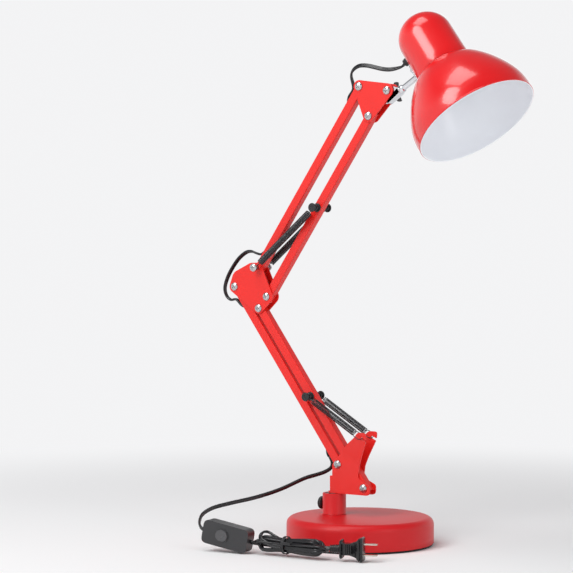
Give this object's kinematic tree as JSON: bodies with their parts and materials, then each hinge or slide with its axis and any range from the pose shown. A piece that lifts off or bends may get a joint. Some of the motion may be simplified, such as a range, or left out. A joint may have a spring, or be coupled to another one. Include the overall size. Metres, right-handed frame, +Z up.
{
  "type": "desk lamp",
  "caption": "Sprung architect desk lamp with a weighted round base, two parallelogram arms, a tilting and swivelling bell shade and an inline switch.",
  "frame": {"origin": "centre of the base's underside, on the surface the lamp stands on", "axes": "+Z up, +X from the arm towards the shade, the arm works in the plane Y = 0"},
  "size_m": [0.4335, 0.249, 0.6429],
  "materials": {
    "red_paint": "satin",
    "white_plastic": "satin",
    "black_plastic": "satin",
    "black_rubber": "matte",
    "cast_iron": "matte",
    "chrome": "polished",
    "brass": "satin",
    "spring_steel": "satin"
  },
  "bodies": {
    "base": {"base_pad": "black_rubber", "base_weight": "cast_iron", "base_cover": "red_paint", "base_tube": "red_paint", "base_stud_nut": "chrome", "tube_sleeve": "black_plastic", "lead_to_switch": "black_plastic", "switch_case_front": "black_plastic", "switch_case_rear": "black_plastic", "cord_hank": "black_plastic", "hank_tie": "black_plastic", "plug_body": "black_plastic", "plug_blade_near": "brass", "plug_blade_far": "brass"},
    "thumb_screw": {"thumb_screw": "black_plastic"},
    "rocker": {"switch_rocker": "black_plastic"},
    "bracket": {"base_bracket": "red_paint", "spindle": "chrome", "screw_lower_rear": "chrome", "screw_lower_front": "chrome", "spring_lower_near": "spring_steel", "spring_lower_far": "spring_steel"},
    "lower_rear_bar": {"lower_bar_rear": "red_paint", "cord_lower_run": "black_plastic"},
    "lower_front_bar": {"lower_bar_front": "red_paint", "spring_post_lower": "chrome", "spool_lower_near": "black_plastic", "spool_lower_far": "black_plastic"},
    "elbow": {"elbow_plate_near": "red_paint", "elbow_plate_far": "red_paint", "screw_elbow_rear": "chrome", "screw_elbow_low": "chrome", "screw_elbow_top": "chrome", "screw_elbow_front": "chrome", "cord_elbow_loop": "black_plastic", "spring_upper_near": "spring_steel", "spring_upper_far": "spring_steel"},
    "upper_rear_bar": {"upper_bar_rear": "red_paint", "cord_upper_run": "black_plastic"},
    "upper_front_bar": {"upper_bar_front": "red_paint", "spring_post_upper": "chrome", "spool_upper_near": "black_plastic", "spool_upper_far": "black_plastic"},
    "head": {"head_plate_near": "red_paint", "head_plate_far": "red_paint", "screw_head_rear": "chrome", "screw_head_low": "chrome", "tilt_bolt": "chrome"},
    "wing_nut": {"wing_nut": "black_plastic"},
    "yoke": {"head_yoke": "chrome", "head_rod": "chrome"},
    "shade": {"shade_cap": "red_paint", "shade_bell": "red_paint", "lampholder": "white_plastic", "socket_shell": "brass", "centre_contact": "brass", "rod_clamp": "chrome", "clamp_screw": "chrome", "cord_grommet": "black_plastic", "cord_head_loop": "black_plastic"}
  },
  "joints": [
    {"name": "base_swivel", "type": "hinge", "parent": "base", "child": "bracket", "pos_m": [-0.0375, 0, 0.0603], "axis": [0, 0, 1], "range_deg": [-150, 150], "deforming": ["lead_to_switch"]},
    {"name": "lower_arm", "type": "hinge", "parent": "bracket", "child": "lower_rear_bar", "pos_m": [-0.028, 0, 0.096], "axis": [0, 1, 0], "range_deg": [-3, 45]},
    {"name": "lower_link", "type": "hinge", "parent": "bracket", "child": "lower_front_bar", "pos_m": [0.0092, 0, 0.069], "axis": [0, 1, 0], "range_deg": [-3, 45], "deforming": ["spring_lower_near", "spring_lower_far"]},
    {"name": "elbow", "type": "hinge", "parent": "lower_rear_bar", "child": "elbow", "pos_m": [-0.18381, 0, 0.31283], "axis": [0, 1, 0], "range_deg": [-45, 3], "deforming": ["cord_elbow_loop"]},
    {"name": "upper_arm", "type": "hinge", "parent": "elbow", "child": "upper_rear_bar", "pos_m": [-0.14811, 0, 0.33703], "axis": [0, 1, 0], "range_deg": [-36, 65]},
    {"name": "upper_link", "type": "hinge", "parent": "elbow", "child": "upper_front_bar", "pos_m": [-0.13461, 0, 0.30063], "axis": [0, 1, 0], "range_deg": [-36, 65], "deforming": ["spring_upper_near", "spring_upper_far"]},
    {"name": "head_carrier", "type": "hinge", "parent": "upper_rear_bar", "child": "head", "pos_m": [0.00236, 0, 0.55759], "axis": [0, 1, 0], "range_deg": [-65, 36]},
    {"name": "head_tilt", "type": "hinge", "parent": "head", "child": "yoke", "pos_m": [0.04196, 0, 0.55089], "axis": [0, 1, 0], "range_deg": [-60, 45]},
    {"name": "head_swivel", "type": "hinge", "parent": "yoke", "child": "shade", "pos_m": [0.04653, 0, 0.54385], "axis": [0.8387, 0, 0.5446], "range_deg": [-90, 90], "deforming": ["cord_head_loop"]},
    {"name": "wing_nut_turn", "type": "hinge", "parent": "head", "child": "wing_nut", "pos_m": [0.04196, 0, 0.55089], "axis": [0, 1, 0], "range_deg": [-180, 180]},
    {"name": "thumb_screw_turn", "type": "hinge", "parent": "base", "child": "thumb_screw", "pos_m": [-0.0375, 0, 0.0465], "axis": [-1, 0, 0], "range_deg": [-180, 180]},
    {"name": "rocker_press", "type": "hinge", "parent": "base", "child": "rocker", "pos_m": [-0.0964, -0.15478, 0.02037], "axis": [0.1832, 0.03, 0.9826], "range_deg": [-8, 8]}
  ],
  "couplings": [
    {"joint": "lower_link", "follows": "lower_arm", "ratio": 1},
    {"joint": "elbow", "follows": "lower_arm", "ratio": -1},
    {"joint": "upper_link", "follows": "upper_arm", "ratio": 1},
    {"joint": "head_carrier", "follows": "upper_arm", "ratio": -1}
  ]
}
